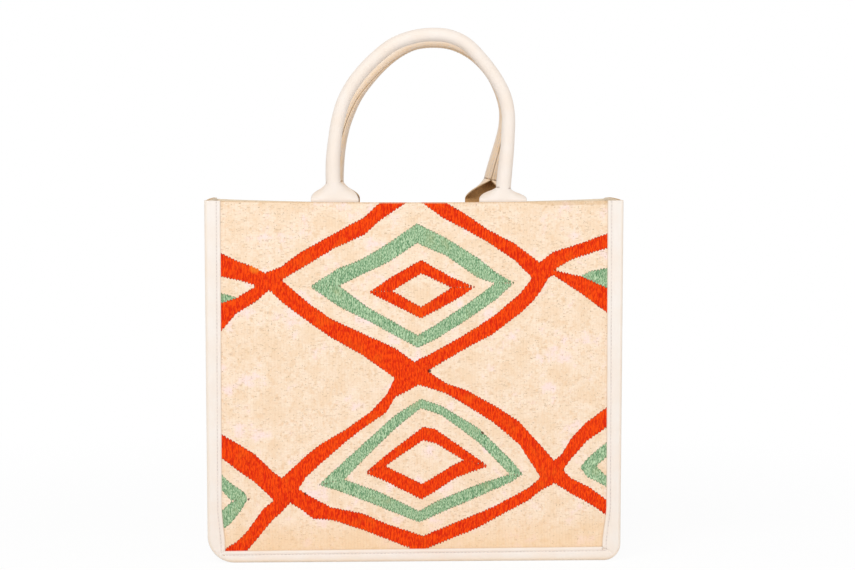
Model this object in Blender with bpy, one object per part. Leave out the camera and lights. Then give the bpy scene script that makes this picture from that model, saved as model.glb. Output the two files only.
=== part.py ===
# Kilim shoulder bag: a boxy flat-woven bag with leather edge binding, a leather gusset
# and two rolled-leather handles. Metres, +Z up. The bag stands on its bottom at z = 0,
# centred on x and y, with its front towards -Y.

import math

import bmesh
import bpy
from mathutils import Vector
from mathutils.geometry import delaunay_2d_cdt

# Driving dimensions of the bag
BAG_TOP_WIDTH = 0.4000
BAG_BOTTOM_WIDTH = 0.3966
BAG_HEIGHT = 0.3468
BAG_DEPTH = 0.1300
LEFT_CORNER_RADIUS = 0.0260
RIGHT_CORNER_RADIUS = 0.0160
GAP = 0.0003

# Edge binding: one leather strip around each face, folded over the edge onto the gusset
BINDING_LEATHER = 0.0014
BINDING_EDGE_RADIUS = 0.0030
BINDING_RETURN = 0.0120
WINDOW_WIDTH = 0.3688
WINDOW_BOTTOM = 0.0125

# Woven faces
KILIM_THICKNESS = 0.0030
MOTIF_RELIEF = 0.0004

# Gusset, facing, lining and base board
GUSSET_LEATHER = 0.0016
RIM_CROWN = 0.0032
FACING_LEATHER = 0.0014
FACING_HEIGHT = 0.0450
FACING_CORNER_RADIUS = 0.0050
LINING_CLOTH = 0.0006
BOARD_THICKNESS = 0.0024
BOARD_CORNER_RADIUS = 0.0060

# Rolled handles. The tabs lie between the woven face and the facing.
ROLL_DIAMETER = 0.0130
ROLL_FOOT_DIAMETER = 0.0144
ROLL_TAPER = 0.0500
HANDLE_LEATHER = 0.0014
ROLL_OPEN_ANGLE = math.radians(9)
CORE_CLEARANCE = 0.0005
CORE_START = 0.0300
TAB_WIDTH = 0.0455
TAB_DEPTH = 0.0300
TAB_ROUND = 0.0160
TAB_TIP_WIDTH = 0.0140
TAB_RISE = 0.0008
HANDLE_LEAN = 0.0040

# Each leg's distance from the centre line at the rim, the height above the rim where its
# roll closes, and how high the handle rises
FRONT_LEFT_LEG = 0.0760
FRONT_RIGHT_LEG = 0.0845
FRONT_LEFT_CLOSING = 0.0164
FRONT_RIGHT_CLOSING = 0.0112
FRONT_RISE = 0.1580
REAR_LEFT_LEG = 0.0740
REAR_RIGHT_LEG = 0.0775
REAR_LEFT_CLOSING = 0.0170
REAR_RIGHT_CLOSING = 0.0190
REAR_RISE = 0.1582

# How evenly each tab rolls up: 1 all the way, less where a flat dome closes near its top
FRONT_EVENNESS = (0.45, 0.58)
REAR_EVENNESS = (0.60, 1.00)
CLOSING_POWER = 8

# Each handle's route: shares of the way from the left leg to the right one and of the rise
FRONT_HANDLE = {
    "legs": (-FRONT_LEFT_LEG, FRONT_RIGHT_LEG),
    "rise": FRONT_RISE,
    "closings": (FRONT_LEFT_CLOSING, FRONT_RIGHT_CLOSING),
    "evenness": FRONT_EVENNESS,
    "route": [
        (-0.01, 0.12), (-0.01, 0.24), (0.00, 0.36), (0.018, 0.475), (0.054, 0.60), (0.125, 0.725),
        (0.23, 0.845), (0.35, 0.94), (0.48, 0.988), (0.60, 1.00), (0.70, 0.985), (0.80, 0.93),
        (0.92, 0.794), (1.00, 0.66), (1.033, 0.53), (1.033, 0.39), (1.024, 0.266), (1.01, 0.13),
    ],
}
REAR_HANDLE = {
    "legs": (-REAR_LEFT_LEG, REAR_RIGHT_LEG),
    "rise": REAR_RISE,
    "closings": (REAR_LEFT_CLOSING, REAR_RIGHT_CLOSING),
    "evenness": REAR_EVENNESS,
    "route": [
        (-0.004, 0.12), (0.004, 0.25), (0.024, 0.38), (0.062, 0.511), (0.126, 0.647),
        (0.228, 0.78), (0.352, 0.896), (0.485, 0.972), (0.62, 0.995), (0.765, 0.98),
        (0.90, 0.915), (1.01, 0.81), (1.079, 0.69), (1.113, 0.57), (1.11, 0.45),
        (1.079, 0.33), (1.043, 0.21), (1.012, 0.09),
    ],
}

# Traditional lozenge motif, in millimetres from the centre line and up from the bottom.
# Each band is a list of (x, lower edge, upper edge), as a weaver would count it off.
RED_BANDS = [
    [(-190, 216, 247), (-170, 239, 254), (-152, 250, 265), (-145, 256, 277), (-127, 271, 284),
     (-108, 282, 298), (-77, 301, 315), (-48, 314, 331), (-34, 327, 344), (-6, 346, 360)],
    [(-190, 276, 299), (-165, 270, 288), (-152, 266, 283), (-137, 260, 275), (-127, 250, 271),
     (-100, 230, 248), (-80, 216, 234), (-50, 199, 220), (-19, 177, 206), (12, 168, 184),
     (30, 162, 172), (50, 150, 165), (75, 134, 151), (100, 113, 135), (121, 81, 112),
     (134, 75, 97), (150, 65, 80), (170, 54, 70), (190, 40, 54)],
    [(6, 345, 360), (27, 330, 346), (50, 318, 333), (68, 308, 320), (95, 290, 306),
     (112, 273, 293), (119, 268, 288), (133, 275, 280), (160, 257, 274), (190, 235, 260)],
    [(-184, 8, 12), (-170, 8, 21), (-160, 12, 31), (-145, 30, 52), (-135, 42, 60),
     (-128, 48, 81), (-120, 57, 88), (-104, 82, 103), (-90, 95, 114), (-66, 116, 128),
     (-42, 134, 145), (-27, 144, 161), (-19, 158, 177), (5, 171, 196), (13, 184, 199),
     (50, 206, 220), (75, 219, 236), (100, 238, 257), (113, 250, 273), (120, 259, 288),
     (133, 280, 298), (150, 290, 303), (190, 303, 317)],
    [(-190, 105, 127), (-168, 88, 114), (-152, 77, 104), (-135, 60, 87), (-120, 58, 77),
     (-110, 52, 70), (-97, 42, 62), (-80, 41, 53), (-50, 31, 47), (-25, 21, 36), (8, 8, 25)],
    [(-4, 8, 16), (8, 11, 25), (30, 20, 34), (60, 32, 46), (78, 42, 54), (110, 59, 71),
     (121, 68, 81), (134, 75, 97), (141, 86, 103), (150, 98, 118), (165, 115, 134),
     (190, 133, 152)],
    [(-44, 259, 259), (-22, 260, 274), (6, 277, 290), (36, 263, 273), (58, 264, 264)],
    [(-44, 259, 259), (-22, 248, 261), (6, 234, 245), (36, 250, 264), (58, 264, 264)],
    [(-48, 86, 86), (-29, 92, 102), (8, 117, 130), (20, 114, 128), (48, 97, 108), (71, 92, 92)],
    [(-48, 86, 86), (-29, 78, 93), (7, 60, 75), (40, 81, 95), (48, 84, 98), (71, 92, 92)],
]
GREEN_BANDS = [
    [(-100, 265, 265), (-73, 265, 282), (-50, 276, 291), (-25, 288, 306), (2, 306, 325),
     (30, 294, 311), (60, 273, 292), (78, 267, 278), (95, 268, 268)],
    [(-100, 265, 265), (-73, 246, 266), (-45, 232, 245), (3, 206, 218), (20, 214, 228),
     (50, 233, 248), (78, 252, 268), (95, 268, 268)],
    [(-92, 75, 75), (-68, 79, 97), (-45, 103, 118), (-18, 129, 142), (6, 148, 157),
     (26, 141, 150), (62, 114, 128), (92, 83, 98), (104, 84, 84)],
    [(-92, 75, 75), (-68, 67, 80), (-35, 54, 68), (4, 38, 49), (22, 46, 59), (60, 62, 74),
     (92, 76, 84), (104, 84, 84)],
    [(-190, 240, 260), (-178, 245, 257), (-170, 250, 255)],
    [(-190, 77, 90), (-176, 60, 77), (-162, 60, 67), (-160, 61, 61)],
    [(-190, 28, 46), (-176, 38, 58), (-166, 51, 62), (-160, 61, 61)],
    [(160, 273, 275), (168, 268, 279), (190, 256, 283)],
    [(159, 90, 90), (166, 88, 99), (174, 91, 106), (190, 105, 118)],
    [(159, 90, 90), (166, 81, 92), (174, 77, 92), (190, 68, 76)],
]
MILLIMETRE = 0.001

# How finely curved shapes are cut into facets. The flare's steps get closer towards its top.
CORNER_STEPS = 6
EDGE_STEPS = 3
CROWN_STEPS = 8
ROLL_STEPS = 14
ROLL_STATION = 0.0130
FLARE_STATIONS = 10
FLARE_CROWDING = 1.6
TAB_STATIONS = 5
ROUTE_STEPS = 8
CORE_RESOLUTION = 3
FLAT_CURL = math.radians(1)
WELD = 0.00001
SHARP_ANGLE = math.radians(35)

# Depth of each layer behind the bag's outer face, from the binding inwards
PANEL_FACE = BINDING_LEATHER + GAP
PANEL_BACK = PANEL_FACE + KILIM_THICKNESS
TAB_MIDDLE = PANEL_BACK + GAP + HANDLE_LEATHER / 2
FACING_FACE = PANEL_BACK + GAP + HANDLE_LEATHER + GAP
GUSSET_FACE = BINDING_LEATHER + GAP
GUSSET_BACK = GUSSET_FACE + GUSSET_LEATHER
INNER_FACE = GUSSET_BACK + GAP
LINING_BOTTOM = INNER_FACE + BOARD_THICKNESS + GAP
GUSSET_HALF_DEPTH = BAG_DEPTH / 2 - PANEL_BACK - GAP
FACING_BOTTOM = BAG_HEIGHT - FACING_HEIGHT

# Colours as they look in daylight, for the plain materials of each piece
LEATHER_COLOUR = (0.90, 0.80, 0.68)
GROUND_COLOUR = (0.90, 0.77, 0.60)
RED_COLOUR = (0.80, 0.08, 0.01)
GREEN_COLOUR = (0.32, 0.50, 0.29)
LINING_COLOUR = (0.62, 0.45, 0.27)
BOARD_COLOUR = (0.35, 0.28, 0.20)
CORD_COLOUR = (0.78, 0.70, 0.55)


def clear_scene():
    for obj in list(bpy.data.objects):
        bpy.data.objects.remove(obj)


def material(name, colour, roughness):
    made = bpy.data.materials.new(name)
    made.use_nodes = True
    shader = made.node_tree.nodes["Principled BSDF"]
    shader.inputs["Base Color"].default_value = (*colour, 1.0)
    shader.inputs["Roughness"].default_value = roughness
    shader.inputs["Metallic"].default_value = 0.0
    return made


def piece(name, bm, materials):
    """A named object from a closed bmesh, with its faces pointing out and smooth shading."""
    bmesh.ops.remove_doubles(bm, verts=bm.verts, dist=WELD)
    bmesh.ops.recalc_face_normals(bm, faces=bm.faces)
    mesh = bpy.data.meshes.new(name)
    bm.to_mesh(mesh)
    bm.free()
    mesh.shade_smooth()
    mesh.set_sharp_from_angle(angle=SHARP_ANGLE)
    for one in materials:
        mesh.materials.append(one)
    obj = bpy.data.objects.new(name, mesh)
    bpy.context.scene.collection.objects.link(obj)
    return obj


def smooth(share):
    """0 to 1 with a soft start and end."""
    share = min(max(share, 0.0), 1.0)
    return share * share * (3 - 2 * share)


def loft(rings, closed=False):
    """Skins rings of equally many points. An open loft gets a cap at each end."""
    bm = bmesh.new()
    made = [[bm.verts.new(point) for point in ring] for ring in rings]
    pairs = list(zip(made, made[1:]))
    if closed:
        pairs.append((made[-1], made[0]))
    for first, second in pairs:
        for i in range(len(first)):
            bm.faces.new((first[i - 1], first[i], second[i], second[i - 1]))
    if not closed:
        bm.faces.new(made[0])
        bm.faces.new(made[-1])
    return bm


def half_width(height):
    """Half the bag's width at a height: the sides lean out a little towards the rim."""
    share = height / BAG_HEIGHT
    return (BAG_BOTTOM_WIDTH + (BAG_TOP_WIDTH - BAG_BOTTOM_WIDTH) * share) / 2


def bag_outline(side_inset, bottom_inset, top):
    """(x, z) points down the left side, along the bottom and up the right side."""
    outline = []
    for side, corner in ((-1, LEFT_CORNER_RADIUS), (1, RIGHT_CORNER_RADIUS)):
        radius = corner - max(side_inset, bottom_inset)
        centre_z = bottom_inset + radius
        centre_x = half_width(centre_z) - side_inset - radius
        column = [(side * (half_width(top) - side_inset), top)]
        for step in range(CORNER_STEPS + 1):
            angle = math.pi / 2 * step / CORNER_STEPS
            reach = centre_x + radius * math.cos(angle)
            column.append((side * reach, centre_z - radius * math.sin(angle)))
        outline += column if side < 0 else column[::-1]
    return outline


def window_outline():
    """The binding's inner edge, point for point with bag_outline and with square corners."""
    half = WINDOW_WIDTH / 2
    outer = bag_outline(0.0, 0.0, BAG_HEIGHT)
    arcs = len(outer) // 2
    outline = []
    for side, column in ((-1, outer[:arcs]), (1, outer[:arcs - 1:-1])):
        start_z = max(column[1][1], WINDOW_BOTTOM)
        end_x = min(abs(column[-1][0]), half)
        inner = [(side * half, BAG_HEIGHT)]
        for step in range(CORNER_STEPS + 1):
            share = 2 * step / CORNER_STEPS
            x = half + (end_x - half) * max(share - 1, 0)
            z = start_z + (WINDOW_BOTTOM - start_z) * min(share, 1)
            inner.append((side * x, z))
        outline += inner if side < 0 else inner[::-1]
    return outline


def rim_rise(y):
    """How far the leather of the sides crowns above the rim at a depth y."""
    return RIM_CROWN * (1 - (y / GUSSET_HALF_DEPTH) ** 2)


def make_binding(name, face):
    """Leather strip around one face: face is -1 for the front and 1 for the back."""
    outer_face = face * BAG_DEPTH / 2
    layers = [(window_outline(), 0.0)]
    for step in range(EDGE_STEPS + 1):
        angle = math.pi / 2 * step / EDGE_STEPS
        inset = BINDING_EDGE_RADIUS * (1 - math.sin(angle))
        back = BINDING_EDGE_RADIUS * (1 - math.cos(angle))
        layers.append((bag_outline(inset, inset, BAG_HEIGHT), back))
    inner_outline = bag_outline(BINDING_LEATHER, BINDING_LEATHER, BAG_HEIGHT)
    layers.append((bag_outline(0.0, 0.0, BAG_HEIGHT), BINDING_RETURN))
    layers.append((inner_outline, BINDING_RETURN))
    inner_radius = BINDING_EDGE_RADIUS - BINDING_LEATHER
    for step in range(EDGE_STEPS, -1, -1):
        angle = math.pi / 2 * step / EDGE_STEPS
        inset = BINDING_LEATHER + inner_radius * (1 - math.sin(angle))
        back = BINDING_LEATHER + inner_radius * (1 - math.cos(angle))
        layers.append((bag_outline(inset, inset, BAG_HEIGHT), back))
    layers.append((window_outline(), BINDING_LEATHER))
    rings = []
    for i in range(len(inner_outline)):
        rings.append([(line[i][0], outer_face - face * back, line[i][1]) for line, back in layers])
    leather = material(name + "_leather", LEATHER_COLOUR, 0.55)
    return piece(name, loft(rings), [leather])


def band_polygon(band):
    """The outline of one band, anticlockwise and without repeated points at a tip."""
    lower = [(x * MILLIMETRE, low * MILLIMETRE) for x, low, high in band]
    upper = [(x * MILLIMETRE, high * MILLIMETRE) for x, low, high in band if low < high]
    return lower + upper[::-1]


def motif_fields():
    """The woven face cut along its motif: points, faces and each face's material number."""
    # The weave ends where the binding starts to bend round the edge
    frame = bag_outline(BINDING_EDGE_RADIUS, BINDING_EDGE_RADIUS, BAG_HEIGHT)
    half = WINDOW_WIDTH / 2 - GAP
    floor = WINDOW_BOTTOM + GAP
    window = [(-half, floor), (half, floor), (half, BAG_HEIGHT), (-half, BAG_HEIGHT)]
    shapes = [frame, window]
    shapes += [band_polygon(band) for band in RED_BANDS + GREEN_BANDS]
    points = []
    loops = []
    for shape in shapes:
        loops.append(list(range(len(points), len(points) + len(shape))))
        points += [Vector(point) for point in shape]
    triangles_inside = 1
    found = delaunay_2d_cdt(points, [], loops, triangles_inside, WELD)
    first_green = 2 + len(RED_BANDS)
    faces = []
    colours = []
    for face, sources in zip(found[2], found[5]):
        if 0 not in sources:
            continue
        bands = [source for source in sources if source > 1] if 1 in sources else []
        faces.append(face)
        colours.append(0 if not bands else 1 if min(bands) < first_green else 2)
    return found[0], faces, colours


def make_panel(name, face):
    """One woven face. The bands of its motif stand a little proud of the ground."""
    points, faces, colours = motif_fields()
    ground_y = face * (BAG_DEPTH / 2 - PANEL_FACE)
    back_y = face * (BAG_DEPTH / 2 - PANEL_BACK)
    bm = bmesh.new()
    verts = [bm.verts.new((point.x, ground_y, point.y)) for point in points]
    for corners, colour in zip(faces, colours):
        bm.faces.new([verts[i] for i in corners]).material_index = colour
    loose = [vert for vert in bm.verts if not vert.link_faces]
    bmesh.ops.delete(bm, geom=loose, context="VERTS")
    rim = [edge for edge in bm.edges if edge.is_boundary]
    walls = bmesh.ops.extrude_edge_only(bm, edges=rim)["geom"]
    back = [item for item in walls if isinstance(item, bmesh.types.BMVert)]
    for vert in back:
        vert.co.y = back_y
    back_edges = [item for item in walls if isinstance(item, bmesh.types.BMEdge)]
    bmesh.ops.contextual_create(bm, geom=[edge for edge in back_edges if edge.is_boundary])
    motif = [one for one in bm.faces if one.material_index > 0]
    motif_edges = {edge for one in motif for edge in one.edges}
    raised = bmesh.ops.extrude_face_region(bm, geom=motif + list(motif_edges))["geom"]
    proud = [item for item in raised if isinstance(item, bmesh.types.BMVert)]
    bmesh.ops.translate(bm, verts=proud, vec=(0, face * MOTIF_RELIEF, 0))
    woven = [
        material(name + "_ground", GROUND_COLOUR, 0.9),
        material(name + "_red", RED_COLOUR, 0.9),
        material(name + "_green", GREEN_COLOUR, 0.9),
    ]
    return piece(name, bm, woven)


def make_gusset():
    """One leather strip down one side, under the bottom and up the other side."""
    outer = bag_outline(GUSSET_FACE, GUSSET_FACE, BAG_HEIGHT)
    inner = bag_outline(GUSSET_BACK, GUSSET_BACK, BAG_HEIGHT)
    rings = []
    for step in range(CROWN_STEPS + 1):
        y = GUSSET_HALF_DEPTH * (2 * step / CROWN_STEPS - 1)
        ring = []
        for x, z in outer + inner[::-1]:
            crown = rim_rise(y) if z >= BAG_HEIGHT else 0.0
            ring.append((x, y, z + crown))
        rings.append(ring)
    return piece("gusset", loft(rings), [material("gusset_leather", LEATHER_COLOUR, 0.55)])


def mouth_loop(inset, height):
    """(x, y) points around the mouth at a height, inset from the facing's outer face."""
    half_x = half_width(height) - INNER_FACE - inset
    half_y = BAG_DEPTH / 2 - FACING_FACE - inset
    radius = FACING_CORNER_RADIUS - inset
    side_y = half_y - radius
    loop = []
    for turn, (sign_x, sign_y) in enumerate(((1, 1), (-1, 1), (-1, -1), (1, -1))):
        for step in range(EDGE_STEPS + 1):
            angle = math.pi / 2 * (turn + step / EDGE_STEPS)
            x = sign_x * (half_x - radius) + radius * math.cos(angle)
            loop.append((x, sign_y * side_y + radius * math.sin(angle)))
        if sign_x * sign_y < 0:
            for step in range(1, CROWN_STEPS):
                y = sign_y * side_y * (1 - 2 * step / CROWN_STEPS)
                loop.append((sign_x * half_x, y))
    return loop


def make_facing():
    """Leather band inside the mouth, which covers the ends of the handles."""
    outer_foot, inner_foot = (mouth_loop(inset, FACING_BOTTOM) for inset in (0.0, FACING_LEATHER))
    outer_rim, inner_rim = (mouth_loop(inset, BAG_HEIGHT) for inset in (0.0, FACING_LEATHER))
    rings = []
    side_x = abs(outer_rim[0][0])
    for points in zip(outer_foot, outer_rim, inner_rim, inner_foot):
        x, y = points[1]
        on_side = abs(x) > side_x - FACING_LEATHER
        top = BAG_HEIGHT + (max(rim_rise(y), 0.0) if on_side else 0.0)
        heights = (FACING_BOTTOM, top, top, FACING_BOTTOM)
        rings.append([(*point, z) for point, z in zip(points, heights)])
    leather = material("mouth_facing_leather", LEATHER_COLOUR, 0.6)
    return piece("mouth_facing", loft(rings, closed=True), [leather])


def make_lining():
    """Cotton sack, sewn to the lower edge of the facing and resting on the base board."""
    half_y = BAG_DEPTH / 2 - FACING_FACE
    top = FACING_BOTTOM - GAP
    outline = bag_outline(INNER_FACE, LINING_BOTTOM, top)
    rings = [[(x, y, z) for x, z in outline] for y in (-half_y, half_y)]
    sack = piece("lining", loft(rings), [material("lining_cotton", LINING_COLOUR, 0.9)])
    wall = LINING_CLOTH
    outline = bag_outline(INNER_FACE + wall, LINING_BOTTOM + wall, top + wall)
    rings = [[(x, y, z) for x, z in outline] for y in (wall - half_y, half_y - wall)]
    hollow = piece("lining_hollow", loft(rings), [])
    hollow.hide_render = True
    hollow.display_type = "WIRE"
    cut = sack.modifiers.new("hollow", "BOOLEAN")
    cut.operation = "DIFFERENCE"
    cut.solver = "EXACT"
    cut.object = hollow
    return sack


def make_board():
    """Stiff board under the lining, which keeps the bottom flat."""
    half_x = BAG_BOTTOM_WIDTH / 2 - max(LEFT_CORNER_RADIUS, RIGHT_CORNER_RADIUS)
    half_y = BAG_DEPTH / 2 - FACING_FACE
    bm = bmesh.new()
    bmesh.ops.create_cube(bm, size=1.0)
    bmesh.ops.scale(bm, verts=bm.verts, vec=(2 * half_x, 2 * half_y, BOARD_THICKNESS))
    bmesh.ops.translate(bm, verts=bm.verts, vec=(0, 0, INNER_FACE + BOARD_THICKNESS / 2))
    corners = [edge for edge in bm.edges
               if abs(edge.verts[0].co.z - edge.verts[1].co.z) > BOARD_THICKNESS / 2]
    bmesh.ops.bevel(bm, geom=corners, offset=BOARD_CORNER_RADIUS, segments=EDGE_STEPS,
                    profile=0.5, affect="EDGES")
    return piece("base_board", bm, [material("base_board_fibre", BOARD_COLOUR, 0.8)])


def curve_through(points, steps):
    """Many points on a smooth curve through the given ones."""
    ends = [2 * points[0] - points[1]] + points + [2 * points[-1] - points[-2]]
    curve = []
    for a, b, c, d in zip(ends, ends[1:], ends[2:], ends[3:]):
        for step in range(steps):
            t = step / steps
            bend = (2 * a - 5 * b + 4 * c - d) * t * t + (3 * b - a - 3 * c + d) * t ** 3
            curve.append(b + ((c - a) * t + bend) / 2)
    return curve + [points[-1]]


def handle_route(handle, face):
    """Points and distances along the back of a handle, from rim to rim."""
    plane_y = face * (BAG_DEPTH / 2 - TAB_MIDDLE)
    left_leg, right_leg = handle["legs"]
    places = [(0.0, 0.0)] + handle["route"] + [(1.0, 0.0)]
    chosen = []
    for across, up in places:
        y = plane_y - face * HANDLE_LEAN * smooth(up)
        x = left_leg + (right_leg - left_leg) * across
        chosen.append(Vector((x, y, BAG_HEIGHT + handle["rise"] * up)))
    curve = curve_through(chosen, ROUTE_STEPS)
    distances = [0.0]
    for a, b in zip(curve, curve[1:]):
        distances.append(distances[-1] + (b - a).length)
    return curve, distances


def point_at(curve, distances, where):
    """The point at a distance along the route, which runs on straight down past its ends."""
    if where <= 0:
        return curve[0] + Vector((0, 0, where))
    if where >= distances[-1]:
        return curve[-1] - Vector((0, 0, where - distances[-1]))
    i = next(k for k, distance in enumerate(distances) if distance > where)
    share = (where - distances[i - 1]) / (distances[i] - distances[i - 1])
    return curve[i - 1].lerp(curve[i], share)


def end_stations(closing):
    """Heights of the sections drawn at one end, from the tab's tip to where the roll closes."""
    tab = [-TAB_DEPTH * (1 - smooth(step / TAB_STATIONS)) for step in range(TAB_STATIONS)]
    flare = []
    for step in range(FLARE_STATIONS + 1):
        share = 1 - (1 - step / FLARE_STATIONS) ** FLARE_CROWDING
        flare.append(TAB_RISE + (closing - TAB_RISE) * share)
    return tab + flare


def handle_stations(handle, length):
    """Distances along the route at which the handle's section is drawn."""
    left, right = (end_stations(closing) for closing in handle["closings"])
    first, last = left[-1], length - right[-1]
    runs = max(round((last - first) / ROLL_STATION), 2)
    roll = [first + (last - first) * step / runs for step in range(1, runs)]
    return left + roll + [length - where for where in reversed(right)]


def leather_shape(above_rim, closing, evenness):
    """Width of the handle's leather when flat, and the angle that it is rolled up by."""
    if above_rim < 0:
        short = min(max(TAB_ROUND - TAB_DEPTH - above_rim, 0.0) / TAB_ROUND, 1.0)
        return TAB_TIP_WIDTH + (TAB_WIDTH - TAB_TIP_WIDTH) * math.sqrt(1 - short * short), 0.0
    share = min(max((above_rim - TAB_RISE) / (closing - TAB_RISE), 0.0), 1.0)
    taper = smooth((above_rim - closing) / ROLL_TAPER)
    diameter = ROLL_FOOT_DIAMETER + (ROLL_DIAMETER - ROLL_FOOT_DIAMETER) * taper
    full_curl = 2 * math.pi - ROLL_OPEN_ANGLE
    roll_width = full_curl * (diameter - HANDLE_LEATHER) / 2
    curl = full_curl * (evenness * share + (1 - evenness) * share ** CLOSING_POWER)
    return TAB_WIDTH + (roll_width - TAB_WIDTH) * share, curl


def handle_section(centre, along, face, width, curl):
    """Points around the leather's section. Its back faces out and its edges curl inwards."""
    out = Vector((0, face, 0))
    out = (out - along * out.dot(along)).normalized()
    across = along.cross(out)
    outside = []
    inside = []
    for step in range(ROLL_STEPS + 1):
        place = width * (step / ROLL_STEPS - 0.5)
        turn = curl * place / width
        normal = out * math.cos(turn) + across * math.sin(turn)
        if curl < FLAT_CURL:
            middle = centre + across * place
        else:
            radius = width / curl
            middle = centre - out * radius + normal * radius
        outside.append(middle + normal * HANDLE_LEATHER / 2)
        inside.append(middle - normal * HANDLE_LEATHER / 2)
    return outside + inside[::-1]


def make_handle(name, handle, face):
    """Leather cover, rolled round a cord core and flattened into a tab at each end."""
    curve, distances = handle_route(handle, face)
    length = distances[-1]
    stations = handle_stations(handle, length)
    centres = [point_at(curve, distances, where) for where in stations]
    rings = []
    core = []
    for i, (where, centre) in enumerate(zip(stations, centres)):
        before = centres[max(i - 1, 0)]
        after = centres[min(i + 1, len(centres) - 1)]
        end = 0 if where < length / 2 else 1
        above_rim = min(where, length - where)
        closing = handle["closings"][end]
        width, curl = leather_shape(above_rim, closing, handle["evenness"][end])
        # The tab's sections stay level, and turn to follow the route as the roll closes
        upright = Vector((0, 0, 1 - 2 * end))
        turned = smooth((above_rim - TAB_RISE) / closing)
        along = upright.lerp((after - before).normalized(), turned).normalized()
        rings.append(handle_section(centre, along, face, width, curl))
        if above_rim >= CORE_START:
            core.append(centre - Vector((0, face, 0)) * width / curl)
    leather = material(name + "_leather", LEATHER_COLOUR, 0.55)
    piece(name, loft(rings), [leather])
    make_core(name + "_core", core)


def make_core(name, points):
    """Twisted cord that fills the rolled part of a handle."""
    curve = bpy.data.curves.new(name, "CURVE")
    curve.dimensions = "3D"
    curve.bevel_depth = ROLL_DIAMETER / 2 - HANDLE_LEATHER - CORE_CLEARANCE
    curve.bevel_resolution = CORE_RESOLUTION
    curve.use_fill_caps = True
    spline = curve.splines.new("POLY")
    spline.points.add(len(points) - 1)
    for spot, point in zip(spline.points, points):
        spot.co = (*point, 1.0)
    curve.materials.append(material(name + "_cord", CORD_COLOUR, 0.9))
    obj = bpy.data.objects.new(name, curve)
    bpy.context.scene.collection.objects.link(obj)


clear_scene()
make_panel("front_panel", -1)
make_panel("back_panel", 1)
make_binding("front_binding", -1)
make_binding("back_binding", 1)
make_gusset()
make_facing()
make_lining()
make_board()
make_handle("front_handle", FRONT_HANDLE, -1)
make_handle("rear_handle", REAR_HANDLE, 1)
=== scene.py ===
# Looks of the kilim bag: woven faces, leather binding and gusset, rolled handles and lining.
import math

import bmesh
import bpy
from mathutils import Matrix, Vector, noise


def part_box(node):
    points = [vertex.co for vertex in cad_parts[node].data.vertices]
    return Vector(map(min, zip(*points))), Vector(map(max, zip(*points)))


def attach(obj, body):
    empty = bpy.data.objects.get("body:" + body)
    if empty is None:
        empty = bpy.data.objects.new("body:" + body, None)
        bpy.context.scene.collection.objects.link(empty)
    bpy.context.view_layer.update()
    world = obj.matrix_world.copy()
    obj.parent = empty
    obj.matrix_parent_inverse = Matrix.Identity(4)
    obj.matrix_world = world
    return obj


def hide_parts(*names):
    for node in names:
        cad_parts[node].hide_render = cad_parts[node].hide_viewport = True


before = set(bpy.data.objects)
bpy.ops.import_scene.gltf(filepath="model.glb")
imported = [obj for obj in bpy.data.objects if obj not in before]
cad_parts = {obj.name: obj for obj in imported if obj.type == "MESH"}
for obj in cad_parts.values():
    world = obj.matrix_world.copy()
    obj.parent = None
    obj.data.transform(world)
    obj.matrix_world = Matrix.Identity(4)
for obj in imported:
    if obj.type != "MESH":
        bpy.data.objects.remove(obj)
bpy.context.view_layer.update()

print("frame loaded:", len(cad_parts), "nodes")

# Common sizes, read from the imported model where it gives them
bindingLow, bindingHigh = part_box("front_binding")
facingLow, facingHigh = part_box("mouth_facing")
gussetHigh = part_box("gusset")[1]
liningLow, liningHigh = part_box("lining")
bag = {
    "topHalf": bindingHigh.x,
    "bottomHalf": 0.1983,
    "rim": bindingHigh.z,
    "face": -bindingLow.y,
    "leftRadius": 0.0260,
    "rightRadius": 0.0160,
    "windowHalf": 0.1844,
    "windowBottom": 0.0125,
    "windowSlope": 0.0010,  # the bottom band is this much wider at its right end
    "leftBend": 0.0030,  # each side band is this much wider at its foot
    "rightBend": 0.0039,
    "bendStart": 0.0550,
    "bendEnd": 0.0140,
    "frontSag": 0.0020,
    "rearSag": 0.0042,
}


def soft(share):
    # 0 to 1 with a soft start and end
    share = min(max(share, 0.0), 1.0)
    return share * share * (3 - 2 * share)


def uneven(x, y, z):
    # smooth noise from -1 to 1, the same in each run
    return noise.noise(Vector((x, y, z)))


def cornerRadius(x):
    return bag["leftRadius"] if x < 0 else bag["rightRadius"]


def halfWidth(z):
    return bag["bottomHalf"] + (bag["topHalf"] - bag["bottomHalf"]) * z / bag["rim"]


def rimDrop(x, y):
    # the cloth rim hangs a little between its stiff corners, and more at the back
    share = (y / bag["face"] + 1) / 2
    depth = bag["frontSag"] + (bag["rearSag"] - bag["frontSag"]) * share
    return depth * max(1 - (x / bag["topHalf"]) ** 2, 0.0)


def windowSide(side, z):
    # x of the binding's inner edge at a height
    bend = soft((bag["bendStart"] - z) / (bag["bendStart"] - bag["bendEnd"]))
    return bag["windowHalf"] - bag["leftBend" if side < 0 else "rightBend"] * bend


def windowFloor(x):
    # z of the binding's inner edge along the bottom
    return bag["windowBottom"] + bag["windowSlope"] * x / bag["windowHalf"]


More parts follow.
